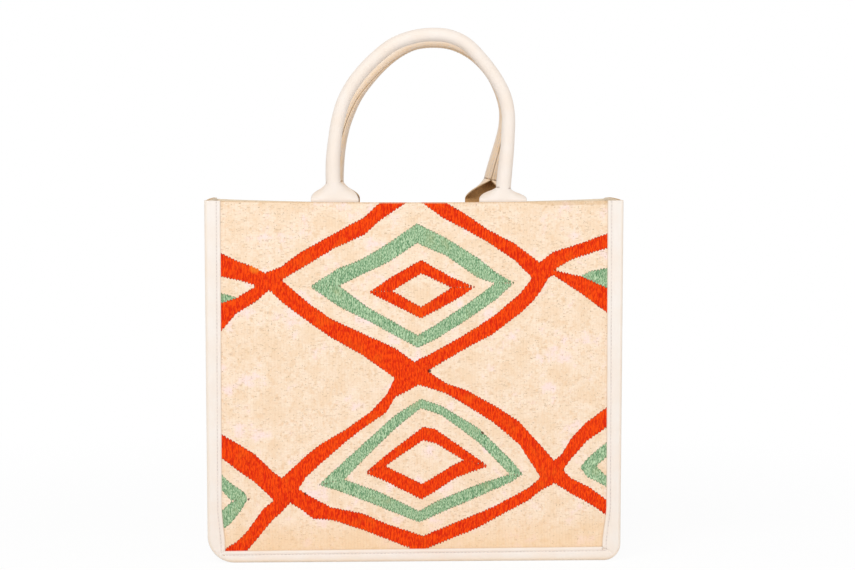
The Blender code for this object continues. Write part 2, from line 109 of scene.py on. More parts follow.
def outlinePath(inset, top, step, turnSteps):
    # (x, z, part, share) down the left side, round both corners and up the right side
    path = []
    for side in (-1, 1):
        radius = cornerRadius(side)
        turn = radius - inset
        turnX = halfWidth(radius) - inset - turn
        steps = round((top - radius) / step)
        column = []
        for i in range(steps):
            z = top + (radius - top) * i / steps
            column.append((side * (halfWidth(z) - inset), z, "side", i / steps))
        for i in range(turnSteps + 1):
            angle = math.pi / 2 * i / turnSteps
            x = side * (turnX + turn * math.cos(angle))
            column.append((x, radius - turn * math.sin(angle), "corner", i / turnSteps))
        if side < 0:
            path = column
            continue
        startX, endX = path[-1][0], column[-1][0]
        steps = round((endX - startX) / step)
        for i in range(1, steps):
            path.append((startX + (endX - startX) * i / steps, inset, "bottom", i / steps))
        path += column[::-1]
    return path


# Mesh helpers
def shapedSheet(columns, rows, place, flip=False, uvScale=(1.0, 1.0), wear=None):
    # a grid whose points are moved to place(u, v), with u and v from 0 to 1
    bm = bmesh.new()
    bmesh.ops.create_grid(bm, x_segments=columns, y_segments=rows, size=0.5)
    sheet = bm.loops.layers.uv.new("sheet")
    for corner in (loop for face in bm.faces for loop in face.loops):
        spot = corner.vert.co
        corner[sheet].uv = ((spot.x + 0.5) * uvScale[0], (spot.y + 0.5) * uvScale[1])
    worn = bm.verts.layers.float.new("wear")
    for vert in bm.verts:
        u, v = vert.co.x + 0.5, vert.co.y + 0.5
        if wear:
            vert[worn] = wear(u, v)
        vert.co = place(u, v)
    if flip:
        bmesh.ops.reverse_faces(bm, faces=bm.faces)
    return bm


def intoScene(name, data):
    thing = bpy.data.objects.new(name, data)
    bpy.context.scene.collection.objects.link(thing)
    return thing


def meshObject(name, bm, materials):
    mesh = bpy.data.meshes.new(name)
    bm.to_mesh(mesh)
    bm.free()
    for material in materials:
        mesh.materials.append(material)
    return intoScene(name, mesh)


def addPiece(name, bm, materials, slotName, *nodes):
    piece = meshObject(name, bm, materials)
    piece.data.shade_smooth()
    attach(piece, "root")
    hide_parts(*nodes)
    return piece


def thicken(piece, thickness, offset):
    # leather or cloth thickness: the inner side and the cut edge have materials of their own
    wall = piece.modifiers.new("thickness", "SOLIDIFY")
    wall.thickness = thickness
    wall.offset = offset
    wall.material_offset = 1
    wall.material_offset_rim = 2


def addStitches(bm, spots, length, width, height):
    # spots are (centre, along, out); each stitch is a small rounded run of thread
    for centre, along, out in spots:
        side = along.cross(out).normalized()
        axes = Matrix((along.normalized() * length, side * width, out.normalized() * height))
        place = Matrix.Translation(centre) @ axes.transposed().to_4x4()
        bmesh.ops.create_uvsphere(bm, u_segments=6, v_segments=5, radius=0.5, matrix=place)


# Shader helpers
def addNode(tree, kind, inputs=None, **settings):
    # each input is a fixed value or another node's output
    made = tree.nodes.new("ShaderNode" + kind)
    for key, value in settings.items():
        setattr(made, key, value)
    for key, value in (inputs or {}).items():
        if isinstance(value, bpy.types.NodeSocket):
            tree.links.new(value, made.inputs[key])
        else:
            made.inputs[key].default_value = value
    return made


def calc(tree, operation, *values, clamp=False):
    made = addNode(tree, "Math", dict(enumerate(values)), operation=operation, use_clamp=clamp)
    return made.outputs[0]


def times(tree, first, second):
    return calc(tree, "MULTIPLY", first, second)


def plus(tree, first, second):
    return calc(tree, "ADD", first, second)


def spread(tree, value, low, high, start=0.0, end=1.0):
    # maps a value's range onto another, softly and within its ends
    inputs = {"Value": value, "From Min": low, "From Max": high, "To Min": start, "To Max": end}
    return addNode(tree, "MapRange", inputs, interpolation_type="SMOOTHSTEP").outputs[0]


def tint(tree, amount, first, second, mode="MIX"):
    inputs = {0: amount, 6: first, 7: second}
    return addNode(tree, "Mix", inputs, data_type="RGBA", blend_type=mode).outputs[2]


def stain(tree, colour, mask, low, high, amount, tone):
    # tints a colour by up to amount as a mask goes from low to high
    return tint(tree, spread(tree, mask, low, high, 0.0, amount), colour, tone)


def noiseAt(tree, vector, scale, detail=2.0, roughness=0.5):
    inputs = {"Vector": vector, "Scale": scale, "Detail": detail, "Roughness": roughness}
    return addNode(tree, "TexNoise", inputs).outputs[0]


def stretched(tree, vector, scale):
    return addNode(tree, "Mapping", {"Vector": vector, "Scale": scale}).outputs[0]


def dye(red, green, blue):
    # a screen colour, each part from 0 to 255, as a shader colour
    def linear(part):
        part /= 255
        return part / 12.92 if part <= 0.04045 else ((part + 0.055) / 1.055) ** 2.4
    return (linear(red), linear(green), linear(blue), 1.0)


def newMaterial(name, roughness, sheen=0.0, specular=0.5):
    material = bpy.data.materials.new(name)
    material.use_nodes = True
    tree = material.node_tree
    shader = tree.nodes["Principled BSDF"]
    shader.inputs["Roughness"].default_value = roughness
    shader.inputs["Sheen Weight"].default_value = sheen
    shader.inputs["Specular IOR Level"].default_value = specular
    return material, tree, shader


def objectPlace(tree):
    return addNode(tree, "TexCoord").outputs["Object"]


def split(tree, vector):
    return addNode(tree, "SeparateXYZ", {0: vector}).outputs


def marked(tree, label):
    # a value that the mesh carries at its points
    return addNode(tree, "Attribute", attribute_name=label).outputs["Fac"]


def sheetPlace(tree):
    return addNode(tree, "UVMap", uv_map="sheet").outputs[0]


def wireUp(tree, shader, colour, relief, strength, distance):
    # the colour and the bump of a material
    tree.links.new(colour, shader.inputs["Base Color"])
    inputs = {"Height": relief, "Strength": strength, "Distance": distance}
    tree.links.new(addNode(tree, "Bump", inputs).outputs[0], shader.inputs["Normal"])


def newGroup(name, inputs, outputs):
    tree = bpy.data.node_groups.new(name, "ShaderNodeTree")
    for label, kind in inputs:
        tree.interface.new_socket(label, in_out="INPUT", socket_type="NodeSocket" + kind)
    for label, kind in outputs:
        tree.interface.new_socket(label, in_out="OUTPUT", socket_type="NodeSocket" + kind)
    return tree, tree.nodes.new("NodeGroupInput").outputs, tree.nodes.new("NodeGroupOutput").inputs


def useGroup(tree, group, inputs):
    return addNode(tree, "Group", inputs, node_tree=group).outputs


def weaveGroup():
    # one cell for each bead of weft: x counts the ribs, y counts the beads
    tree, given, result = newGroup(
        "weave", [("Cells", "Vector")],
        [("Height", "Float"), ("Gap", "Float"), ("Bow", "Float"), ("Bead Tone", "Float")])
    parts = split(tree, given["Cells"])
    rib = calc(tree, "FLOOR", parts[0])
    across = calc(tree, "FRACT", parts[0])
    shift = times(tree, calc(tree, "MODULO", rib, 2.0), 0.5)
    along = plus(tree, parts[1], shift)
    bead = calc(tree, "FLOOR", along)
    within = calc(tree, "FRACT", along)
    ribBow = calc(tree, "SINE", times(tree, across, math.pi))
    beadBow = calc(tree, "SINE", times(tree, within, math.pi))
    height = times(tree, calc(tree, "POWER", ribBow, 0.5), calc(tree, "POWER", beadBow, 0.5))
    tree.links.new(height, result["Height"])
    tree.links.new(ribBow, result["Bow"])
    tree.links.new(spread(tree, height, 0.28, 0.72, 1.0, 0.0), result["Gap"])
    spot = addNode(tree, "CombineXYZ", {0: rib, 1: bead}).outputs[0]
    beadTone = addNode(tree, "TexWhiteNoise", {"Vector": spot}, noise_dimensions="3D")
    tree.links.new(beadTone.outputs[0], result["Bead Tone"])
    return tree


def grainGroup():
    # pores and creases of smooth leather, and its slow change of tone
    tree, given, result = newGroup(
        "grain", [("Vector", "Vector"), ("Scale", "Float")],
        [("Height", "Float"), ("Mottle", "Float"), ("Pores", "Float")])
    pores = addNode(tree, "TexVoronoi", {"Vector": given["Vector"], "Scale": given["Scale"]},
                    feature="DISTANCE_TO_EDGE").outputs["Distance"]
    creases = spread(tree, pores, 0.0, 0.12)
    fine = noiseAt(tree, given["Vector"], times(tree, given["Scale"], 2.2), 3.0)
    slow = noiseAt(tree, given["Vector"], times(tree, given["Scale"], 0.03), 4.0)
    height = plus(tree, times(tree, creases, 0.5), times(tree, fine, 0.6))
    tree.links.new(height, result["Height"])
    tree.links.new(spread(tree, slow, 0.3, 0.7), result["Mottle"])
    tree.links.new(spread(tree, fine, 0.68, 0.80), result["Pores"])
    return tree


def edgeWearGroup():
    # worn edges: the wear attribute broken up by noise
    tree, given, result = newGroup("edge_wear", [("Vector", "Vector")], [("Mask", "Float")])
    worn = marked(tree, "wear")
    broken = noiseAt(tree, given["Vector"], 160.0, 4.0, 0.6)
    mask = times(tree, worn, spread(tree, broken, 0.15, 0.75, 0.45, 1.0))
    tree.links.new(mask, result["Mask"])
    return tree


weave = weaveGroup()
grain = grainGroup()
edgeWear = edgeWearGroup()


def leatherMaterial(name, pale, deep, wearAndFootShadeTone, roughness):
    material, tree, shader = newMaterial(name, roughness, specular=0.35)
    place = objectPlace(tree)
    skin = useGroup(tree, grain, {"Vector": place, "Scale": 1400.0})
    worn = useGroup(tree, edgeWear, {"Vector": place})
    colour = tint(tree, times(tree, skin["Mottle"], 0.55), pale, deep)
    colour = tint(tree, times(tree, skin["Pores"], 0.25), colour, deep)
    colour = tint(tree, worn["Mask"], colour, wearAndFootShadeTone)
    # painted shade: the leather turns tan over its lowest 6.5 mm, towards the floor where it curves
    # under; the same tone also marks worn edges
    height = split(tree, place)[2]
    colour = tint(tree, spread(tree, height, 0.0, 0.0065, 0.42, 0.0), colour, wearAndFootShadeTone)
    tree.links.new(spread(tree, skin["Mottle"], 0.0, 1.0, roughness - 0.06, roughness + 0.08),
                   shader.inputs["Roughness"])
    wireUp(tree, shader, colour, skin["Height"], 0.35, 0.0002)
    return material


def fleshMaterial(name, pale, deep):
    # the napped inner side of leather
    material, tree, shader = newMaterial(name, 0.9, sheen=0.1, specular=0.2)
    place = objectPlace(tree)
    nap = noiseAt(tree, place, 900.0, 4.0, 0.7)
    slow = noiseAt(tree, place, 45.0, 3.0)
    colour = stain(tree, pale, nap, 0.3, 0.7, 1.0, deep)
    colour = stain(tree, colour, slow, 0.4, 0.8, 0.5, deep)
    wireUp(tree, shader, colour, nap, 0.6, 0.0003)
    return material


def streakMaterial(name, pale, deep, scale, detail, grade, low, depth, **looks):
    # streaks of thread or fibre, finest where the scale is largest
    material, tree, shader = newMaterial(name, **looks)
    lay = noiseAt(tree, stretched(tree, objectPlace(tree), scale), 1.0, detail, grade)
    wireUp(tree, shader, stain(tree, pale, lay, low, 1 - low, 1.0, deep), lay, 0.5, depth)
    return material


leather = leatherMaterial(
    "natural_leather", dye(239, 231, 223), dye(238, 223, 208), dye(234, 208, 176), 0.52)
handleLeather = leatherMaterial(
    "handle_leather", dye(239, 229, 220), dye(238, 222, 206), dye(242, 205, 158), 0.48)
cutEdge = leatherMaterial(
    "cut_edge", dye(238, 208, 170), dye(218, 182, 140), dye(206, 168, 124), 0.7)
flesh = fleshMaterial("flesh_side", dye(214, 170, 116), dye(186, 140, 88))
thread = streakMaterial(
    "waxed_thread", dye(232, 220, 214), dye(206, 194, 188), (2600.0, 2600.0, 900.0), 2.0, 0.5,
    0.35, 0.0002, roughness=0.7, sheen=0.1, specular=0.3)
print("leathers and thread mixed")

# Woven faces
kilim = {
    "ribs": 132,
    "ribPitch": 0.0029,
    "pointsPerRib": 4,
    "rows": 184,
    "foot": 0.0060,
    "depth": 0.0017,
    "thickness": 0.0030,
    "ribHeights": (0.0, 0.8, 1.0, 0.8),
    "ribHeight": 0.00020,
    "beadPitch": 0.0010,
    "handWobble": 0.40,
    "fluff": 0.00010,
    "wander": 0.00030,
    "belly": 0.0012,
    "looseFrom": 0.0300,  # the cloth bellies out from here inwards
    "rimTurn": 0.0011,
}
millimetre = 0.001
farAway = -50.0
# knots of the weaver's own: (x, height, reach) in millimetres
darkKnots = [(14, 184, 3.0), (65, 124, 2.2), (-159, 61, 2.0), (-105, 66, 2.2)]
orangeKnots = [(-152, 283, 7.0)]
# Each band is a list of (x, lower edge, upper edge) in millimetres from the centre line and floor
redBands = [
    [(-190, 216, 247), (-170, 239, 254), (-152, 250, 265), (-145, 256, 277), (-127, 271, 284),
     (-108, 282, 298), (-77, 301, 315), (-48, 314, 331), (-34, 327, 344), (-6, 346, 360)],
    [(-190, 276, 299), (-165, 270, 288), (-152, 266, 283), (-137, 260, 275), (-127, 250, 271),
     (-100, 230, 248), (-80, 216, 234), (-50, 199, 220), (-19, 177, 206), (12, 168, 184),
     (30, 162, 172), (50, 150, 165), (75, 134, 151), (100, 113, 135), (121, 81, 112),
     (134, 75, 97), (150, 65, 80), (170, 54, 70), (190, 40, 54)],
    [(6, 345, 360), (27, 330, 346), (50, 318, 333), (68, 308, 320), (95, 290, 306),
     (112, 273, 293), (119, 268, 288), (133, 275, 280), (160, 257, 274), (190, 235, 260)],
    [(-184, 8, 12), (-170, 8, 21), (-160, 12, 31), (-145, 30, 52), (-135, 42, 60),
     (-128, 48, 81), (-120, 57, 88), (-104, 82, 103), (-90, 95, 114), (-66, 116, 128),
     (-42, 134, 145), (-27, 144, 161), (-19, 158, 177), (5, 171, 196), (13, 184, 199),
     (50, 206, 220), (75, 219, 236), (100, 238, 257), (113, 250, 273), (120, 259, 288),
     (133, 280, 298), (150, 290, 303), (190, 303, 317)],
    [(-190, 105, 127), (-168, 88, 114), (-152, 77, 104), (-135, 60, 87), (-120, 58, 77),
     (-110, 52, 70), (-97, 42, 62), (-80, 41, 53), (-50, 31, 47), (-25, 21, 36), (8, 8, 25)],
    [(-4, 8, 16), (8, 11, 25), (30, 20, 34), (60, 32, 46), (78, 42, 54), (110, 59, 71),
     (121, 68, 81), (134, 75, 97), (141, 86, 103), (150, 98, 118), (165, 115, 134),
     (190, 133, 152)],
    [(-44, 259, 259), (-22, 260, 274), (6, 277, 290), (36, 263, 273), (58, 264, 264)],
    [(-44, 259, 259), (-22, 248, 261), (6, 234, 245), (36, 250, 264), (58, 264, 264)],
    [(-48, 86, 86), (-29, 92, 102), (8, 117, 130), (20, 114, 128), (48, 97, 108), (71, 92, 92)],
    [(-48, 86, 86), (-29, 78, 93), (7, 60, 75), (40, 81, 95), (48, 84, 98), (71, 92, 92)],
]
greenBands = [
    [(-100, 265, 265), (-73, 265, 282), (-50, 276, 291), (-25, 288, 306), (2, 306, 325),
     (30, 294, 311), (60, 273, 292), (78, 267, 278), (95, 268, 268)],
    [(-100, 265, 265), (-73, 246, 266), (-45, 232, 245), (3, 206, 218), (20, 214, 228),
     (50, 233, 248), (78, 252, 268), (95, 268, 268)],
    [(-92, 75, 75), (-68, 79, 97), (-45, 103, 118), (-18, 129, 142), (6, 148, 157),
     (26, 141, 150), (62, 114, 128), (92, 83, 98), (104, 84, 84)],
    [(-92, 75, 75), (-68, 67, 80), (-35, 54, 68), (4, 38, 49), (22, 46, 59), (60, 62, 74),
     (92, 76, 84), (104, 84, 84)],
    [(-190, 240, 260), (-178, 245, 257), (-170, 250, 255)],
    [(-190, 77, 90), (-176, 60, 77), (-162, 60, 67), (-160, 61, 61)],
    [(-190, 28, 46), (-176, 38, 58), (-166, 51, 62), (-160, 61, 61)],
    [(160, 273, 275), (168, 268, 279), (190, 256, 283)],
    [(159, 90, 90), (166, 88, 99), (174, 91, 106), (190, 105, 118)],
    [(159, 90, 90), (166, 81, 92), (174, 77, 92), (190, 68, 76)],
]


def bandSpans(bands, x):
    # the lower and upper edge of each band that a rib crosses, in millimetres like x
    spans = []
    for band in bands:
        for (x0, low0, high0), (x1, low1, high1) in zip(band, band[1:]):
            if x0 <= x < x1:
                share = (x - x0) / (x1 - x0)
                spans.append((low0 + (low1 - low0) * share, high0 + (high1 - high0) * share))
    return spans


def depthInSpans(spans, z):
    # how far inside a band a height lies, up or down its rib; negative outside
    return max([farAway] + [min(z - low, high - z) for low, high in spans])


def roundedCorner(x, z):
    # the cloth is cut round where the bag's lower corners are
    radius = cornerRadius(x)
    centreX = halfWidth(radius) - radius
    reach = (kilim["ribs"] * kilim["ribPitch"] / 2 - centreX, radius - kilim["foot"])
    off = Vector(((abs(x) - centreX) / reach[0], (z - radius) / reach[1]))
    if off.x <= 0 or off.y >= 0:
        return x, z
    off = off.normalized() * max(off.x, -off.y)
    return math.copysign(centreX + off.x * reach[0], x), radius + off.y * reach[1]


def kilimPlace(face):
    columns = kilim["ribs"] * kilim["pointsPerRib"]
    width = kilim["ribs"] * kilim["ribPitch"]

    def place(u, v):
        rise = kilim["ribHeights"][round(u * columns) % kilim["pointsPerRib"]] * kilim["ribHeight"]
        x = (u - 0.5) * width
        top = bag["rim"] - rimDrop(x, face * bag["face"])
        z = kilim["foot"] + (top - kilim["foot"]) * v
        x, z = roundedCorner(x, z)
        inside = min(bag["windowHalf"] - abs(x), z - bag["windowBottom"])
        loose = soft(inside / kilim["looseFrom"])
        bulge = uneven(x * 11, z * 9, face * 3.7) + 0.5
        wander = uneven(x * 30, z * 18, face * 9.1)
        folded = max((z - top) / kilim["rimTurn"] + 1, 0.0)
        fluff = uneven(x * 520, z * 520, face * 2.3) * kilim["fluff"]
        out = bag["face"] - kilim["depth"] + rise + fluff + kilim["belly"] * bulge * loose
        out -= kilim["rimTurn"] * (1 - math.sqrt(max(1 - folded * folded, 0.0)))
        return Vector((x + kilim["wander"] * wander * loose, face * out, z))

    return place


def nearKnot(knots, spot):
    # 1 at a knot, falling to 0 at its reach
    x, z = spot.x / millimetre, spot.z / millimetre
    return max([0.0] + [1 - math.hypot(x - knotX, z - knotZ) / reach for knotX, knotZ, reach in knots])


def markPoints(bm, label, valueAt):
    layer = bm.verts.layers.float.new(label)
    for vert in bm.verts:
        vert[layer] = valueAt(vert.co)


def makeKilim(name, face, material, node):
    columns = kilim["ribs"] * kilim["pointsPerRib"]
    width = kilim["ribs"] * kilim["ribPitch"]
    beads = (bag["rim"] - kilim["foot"]) / kilim["beadPitch"]
    bm = shapedSheet(columns, kilim["rows"], kilimPlace(face), face > 0, (kilim["ribs"], beads))
    for label, bands in (("redDepth", redBands), ("greenDepth", greenBands)):
        columnSpans = [bandSpans(bands, (i / columns - 0.5) * width / millimetre)
                       for i in range(columns + 1)]

        def depthAt(spot):
            wobble = kilim["handWobble"] * uneven(spot.x * 130, spot.z * 60, face)
            spans = columnSpans[round((spot.x / width + 0.5) * columns)]
            return depthInSpans(spans, spot.z / millimetre + wobble)

        markPoints(bm, label, depthAt)
    markPoints(bm, "darkKnots", lambda spot: nearKnot(darkKnots, spot))
    markPoints(bm, "orangeKnots", lambda spot: nearKnot(orangeKnots, spot))
    hem = [edge for edge in bm.edges if edge.is_boundary]
    walls = bmesh.ops.extrude_edge_only(bm, edges=hem)["geom"]
    back = face * (bag["face"] - kilim["depth"] - kilim["thickness"])
    for vert in (item for item in walls if isinstance(item, bmesh.types.BMVert)):
        vert.co.y = back
    rear = [item for item in walls if isinstance(item, bmesh.types.BMEdge) and item.is_boundary]
    bmesh.ops.contextual_create(bm, geom=rear)
    bmesh.ops.recalc_face_normals(bm, faces=bm.faces)
    piece = addPiece(name, bm, [material], "kilim", node)


def fleckMask(tree, place, scale, low, high):
    # scattered specks where a stretched noise peaks
    return spread(tree, noiseAt(tree, stretched(tree, place, scale), 1.0, 2.0), low, high)


def kilimMaterial():
    material, tree, shader = newMaterial("kilim_wool", 0.9, sheen=0.08, specular=0.12)
    place = objectPlace(tree)
    sheet = sheetPlace(tree)
    cloth = useGroup(tree, weave, {"Cells": sheet})
    fuzz = noiseAt(tree, stretched(tree, place, (900.0, 900.0, 1500.0)), 1.0, 4.0, 0.65)
    strokes = noiseAt(tree, stretched(tree, place, (1000.0, 1000.0, 230.0)), 1.0, 2.0, 0.6)
    flecks = noiseAt(tree, stretched(tree, place, (1500.0, 1500.0, 480.0)), 1.0, 3.0, 0.6)
    clouds = noiseAt(tree, place, 240.0, 4.0, 0.6)
    patches = noiseAt(tree, place, 55.0, 4.0, 0.6)
    height = split(tree, place)[2]

    ground = tint(tree, cloth["Bead Tone"], dye(249, 230, 208), dye(243, 219, 193))
    ground = stain(tree, ground, clouds, 0.48, 0.72, 0.8, dye(232, 198, 160))
    ground = stain(tree, ground, patches, 0.44, 0.68, 0.7, dye(240, 211, 178))
    ground = stain(tree, ground, patches, 0.46, 0.30, 0.9, dye(250, 226, 220))
    ground = stain(tree, ground, fuzz, 0.56, 0.74, 0.5, dye(214, 184, 148))
    dashes = times(tree, spread(tree, cloth["Bead Tone"], 0.92, 0.95),
                   fleckMask(tree, place, (420.0, 420.0, 700.0), 0.44, 0.56))
    ground = tint(tree, times(tree, dashes, 0.4), ground, dye(192, 162, 126))
    specks = fleckMask(tree, place, (620.0, 620.0, 760.0), 0.64, 0.74)
    ground = tint(tree, times(tree, specks, 0.8), ground, dye(176, 152, 118))
    ground = tint(tree, spread(tree, height, 0.012, 0.050, 0.55, 0.0), ground, dye(241, 206, 162))

    red = stain(tree, dye(252, 78, 4), strokes, 0.42, 0.60, 1.0, dye(218, 38, 2))
    red = stain(tree, red, patches, 0.54, 0.74, 0.6, dye(248, 100, 14))
    red = stain(tree, red, flecks, 0.56, 0.72, 0.6, dye(172, 26, 2))
    green = stain(tree, dye(194, 222, 182), flecks, 0.40, 0.60, 1.0, dye(98, 146, 104))
    green = stain(tree, green, strokes, 0.54, 0.70, 0.6, dye(72, 120, 82))
    green = stain(tree, green, patches, 0.55, 0.75, 0.5, dye(166, 178, 130))

    # the bands end in a rounded bead on each rib, with darker threads along their edges
    scallop = times(tree, calc(tree, "SUBTRACT", cloth["Bow"], 0.62), 1.2)
    sway = times(tree, calc(tree, "SUBTRACT", noiseAt(tree, place, 700.0, 3.0), 0.5), 2.2)
    broken = fleckMask(tree, place, (560.0, 560.0, 560.0), 0.30, 0.56)
    inBand = None
    colour = ground
    for label, wool, dark in (("greenDepth", green, dye(88, 92, 56)),
                              ("redDepth", red, dye(112, 28, 4))):
        depth = plus(tree, plus(tree, marked(tree, label), scallop), sway)
        border = times(tree, spread(tree, depth, 0.2, 1.1, 0.85, 0.0), broken)
        within = spread(tree, depth, -0.15, 0.15)
        colour = tint(tree, within, colour, tint(tree, border, wool, dark))
        inBand = calc(tree, "MAXIMUM", inBand, within) if inBand else within
    orange = times(tree, spread(tree, marked(tree, "orangeKnots"), 0.0, 0.5, 0.0, 0.85), inBand)
    colour = tint(tree, orange, colour, dye(246, 124, 30))
    knot = plus(tree, marked(tree, "darkKnots"), calc(tree, "SUBTRACT", clouds, 0.5))
    colour = stain(tree, colour, knot, 0.25, 0.60, 0.9, dye(84, 20, 8))
    # painted shade along the top, where the folded hem catches less light, broader at the right
    cell = split(tree, sheet)
    fromTop = calc(tree, "SUBTRACT", (bag["rim"] - kilim["foot"]) / kilim["beadPitch"], cell[1])
    broad = spread(tree, cell[0], kilim["ribs"] * 0.78, kilim["ribs"] * 0.84, 1.6, 4.2)
    hem = calc(tree, "SUBTRACT", broad, fromTop)
    hem = times(tree, spread(tree, hem, 0.0, 0.8), spread(tree, broken, 0.0, 1.0, 0.5, 1.0))
    colour = tint(tree, times(tree, hem, 0.55), colour, dye(214, 178, 134))
    shade = times(tree, cloth["Gap"], spread(tree, inBand, 0.0, 1.0, 0.05, 0.26))
    colour = tint(tree, shade, colour, dye(150, 110, 76), "MULTIPLY")
    relief = plus(tree, times(tree, cloth["Height"], 0.5), fuzz)
    wireUp(tree, shader, colour, relief, 0.4, 0.0005)
    return material


wool = kilimMaterial()
makeKilim("front_kilim", -1, wool, "front_panel")
makeKilim("back_kilim", 1, wool, "back_panel")
print("kilim woven:", kilim["ribs"], "ribs")

# Edge binding
binding = {
    "leather": 0.0013,
    "edgeRadius": 0.0030,
    "returnDepth": 0.0120,
    "step": 0.00117,
    "turnSteps": 26,
    "stitchInset": 0.0040,
    "stitchPitch": 0.0035,
    "stitchLength": 0.0029,
    "threadWidth": 0.0006,
    "threadHeight": 0.00045,
    "lipPoints": (0.0, 0.15, 0.45, 0.9, 1.5, 2.2, 2.9, 3.4, 3.7, 4.0, 4.3, 4.6, 5.2, 6.2),
    "restShares": (0.34, 0.67, 1.0),
    "edgeSteps": 5,
    "returnShares": (0.3, 0.6, 0.85, 1.0),
    "creaseDepth": 0.0006,
    "creaseWidth": 0.0008,
    "creaseFade": 0.0030,
    "unevenness": 0.00025,
    "stitchSink": 0.00030,
    "rimFollow": 8,  # the higher this is, the less of the binding's height sags with the rim
}
# how high the leather stands over its plane at a distance from the inner edge, in millimetres
bindingLift = [(0.0, -1.30), (0.15, -0.75), (0.45, -0.28), (0.9, 0.10), (1.5, 0.34), (2.2, 0.36),
               (2.9, 0.16), (3.4, -0.14), (3.7, -0.36), (4.0, -0.46), (4.3, -0.36), (4.6, -0.16),
               (5.2, 0.06), (6.2, 0.16), (9.0, 0.14), (12.6, 0.0), (60.0, 0.0)]


def between(table, where):
    # reads a table of (place, value) with straight lines between its rows
    for (a, low), (b, high) in zip(table, table[1:]):
        if where <= b:
            return low + (high - low) * max((where - a) / (b - a), 0.0)
    return table[-1][1]


def windowDistance(x, z):
    # how far a point lies outside the window that the kilim shows through
    side = -1 if x < 0 else 1
    return max(abs(x) - windowSide(side, z), windowFloor(x) - z)


def mitreCrease(x, z):
    # the folded leather creases from each lower window corner to the bag's corner
    side = -1 if x < 0 else 1
    cornerX = windowSide(side, bag["windowBottom"])
    radius = cornerRadius(side)
    start = Vector((cornerX, windowFloor(side * cornerX)))
    middle = Vector((halfWidth(radius) - radius, radius))
    end = middle + Vector((math.sqrt(0.5), -math.sqrt(0.5))) * radius
    along = (end - start).normalized()
    offset = Vector((abs(x), z)) - start
    run = offset.dot(along)
    away = (offset - along * run).length
    fade = soft(run / binding["creaseFade"])
    return binding["creaseDepth"] * fade * math.exp(-(away / binding["creaseWidth"]) ** 2)


def innerEdge(x, z, part, share):
    # the window's edge opposite a point of the bag's outline
    side = -1 if x < 0 else 1
    if part == "side":
        return side * windowSide(side, z), z
    if part == "bottom":
        return x, windowFloor(x)
    radius = cornerRadius(side)
    cornerX = windowSide(side, bag["windowBottom"])
    turnX = halfWidth(radius) - radius
    low = windowFloor(side * cornerX)
    z = radius + (low - radius) * min(2 * share, 1.0)
    x = cornerX + (min(turnX, cornerX) - cornerX) * max(2 * share - 1, 0.0)
    if share < 0.5:
        x = windowSide(side, z)
    return side * x, z


def makeBinding(name, face, node):
    sizes = binding
    radius = sizes["edgeRadius"]
    outer = outlinePath(0.0, bag["rim"], sizes["step"], sizes["turnSteps"])
    eased = outlinePath(radius, bag["rim"], sizes["step"], sizes["turnSteps"])
    lips = len(sizes["lipPoints"])
    flats = lips + len(sizes["restShares"])
    edges = flats + sizes["edgeSteps"]
    across = edges + len(sizes["returnShares"]) - 1

    def place(u, v):
        i, j = round(u * across), round(v * (len(outer) - 1))
        x, z, part, share = outer[j]
        rim = Vector((eased[j][0], eased[j][1]))
        hem = Vector(innerEdge(x, z, part, share))
        way = rim - hem
        if i < flats:
            straight = abs(way.x) if part == "side" or part == "corner" and share < 0.5 else abs(way.y)
            slant = max(straight / way.length, 0.3)
            lip = sizes["lipPoints"][min(i, lips - 1)] * millimetre / slant
            lip = min(lip, way.length * 0.6)
            if i >= lips:
                lip += (way.length - lip) * sizes["restShares"][i - lips]
            spot = hem + way.normalized() * lip
            back = -between(bindingLift, windowDistance(spot.x, spot.y) / millimetre) * millimetre
            back += mitreCrease(spot.x, spot.y)
            back -= sizes["unevenness"] * uneven(spot.x * 60, spot.y * 60, face)
        elif i < edges:
            angle = math.pi / 2 * (i - flats + 1) / sizes["edgeSteps"]
            spot = rim + (Vector((x, z)) - rim) * math.sin(angle)
            back = radius * (1 - math.cos(angle))
        else:
            spot = Vector((x, z))
            back = radius + (sizes["returnDepth"] - radius) * sizes["returnShares"][i - edges]
        drop = min(rimDrop(spot.x, face * bag["face"]), spot.y)
        drop *= (spot.y / bag["rim"]) ** sizes["rimFollow"]
        return Vector((spot.x, face * (bag["face"] - back), spot.y - drop))

    def wear(u, v):
        i = round(u * across)
        if i >= across - 1:
            return 0.8
        if i >= flats:
            return 0.28
        return 0.35 if i < 3 else 0.0

    bm = shapedSheet(across, len(outer) - 1, place, face > 0, (across, len(outer)), wear)
    piece = addPiece(name, bm, [leather, flesh, cutEdge], "binding_leather", node)
    thicken(piece, sizes["leather"], -1)


def makeBindingStitches(name, face):
    sizes = binding
    spots = []
    out = Vector((0, face, 0))
    y = face * (bag["face"] - sizes["stitchSink"])
    pitch = sizes["stitchPitch"]
    inset = sizes["stitchInset"]
    cornerZ = bag["windowBottom"] - inset
    for side in (-1, 1):
        count = int((bag["rim"] - cornerZ) / pitch)
        for i in range(count):
            z = bag["rim"] - pitch * (i + 0.5)
            spots.append((Vector((side * (windowSide(side, z) + inset), y, z)), Vector((0, 0, 1)), out))
    left = -windowSide(-1, cornerZ) - inset
    right = windowSide(1, cornerZ) + inset
    count = int((right - left) / pitch)
    for i in range(count):
        x = left + (right - left) * (i + 0.5) / count
        spots.append((Vector((x, y, windowFloor(x) - inset)), Vector((1, 0, 0)), out))
    bm = bmesh.new()
    addStitches(bm, spots, sizes["stitchLength"], sizes["threadWidth"], sizes["threadHeight"])
    addPiece(name, bm, [thread], "binding_leather")


makeBinding("front_edge_binding", -1, "front_binding")
makeBinding("back_edge_binding", 1, "back_binding")
makeBindingStitches("front_binding_stitches", -1)
makeBindingStitches("back_binding_stitches", 1)
print("bindings folded and stitched")

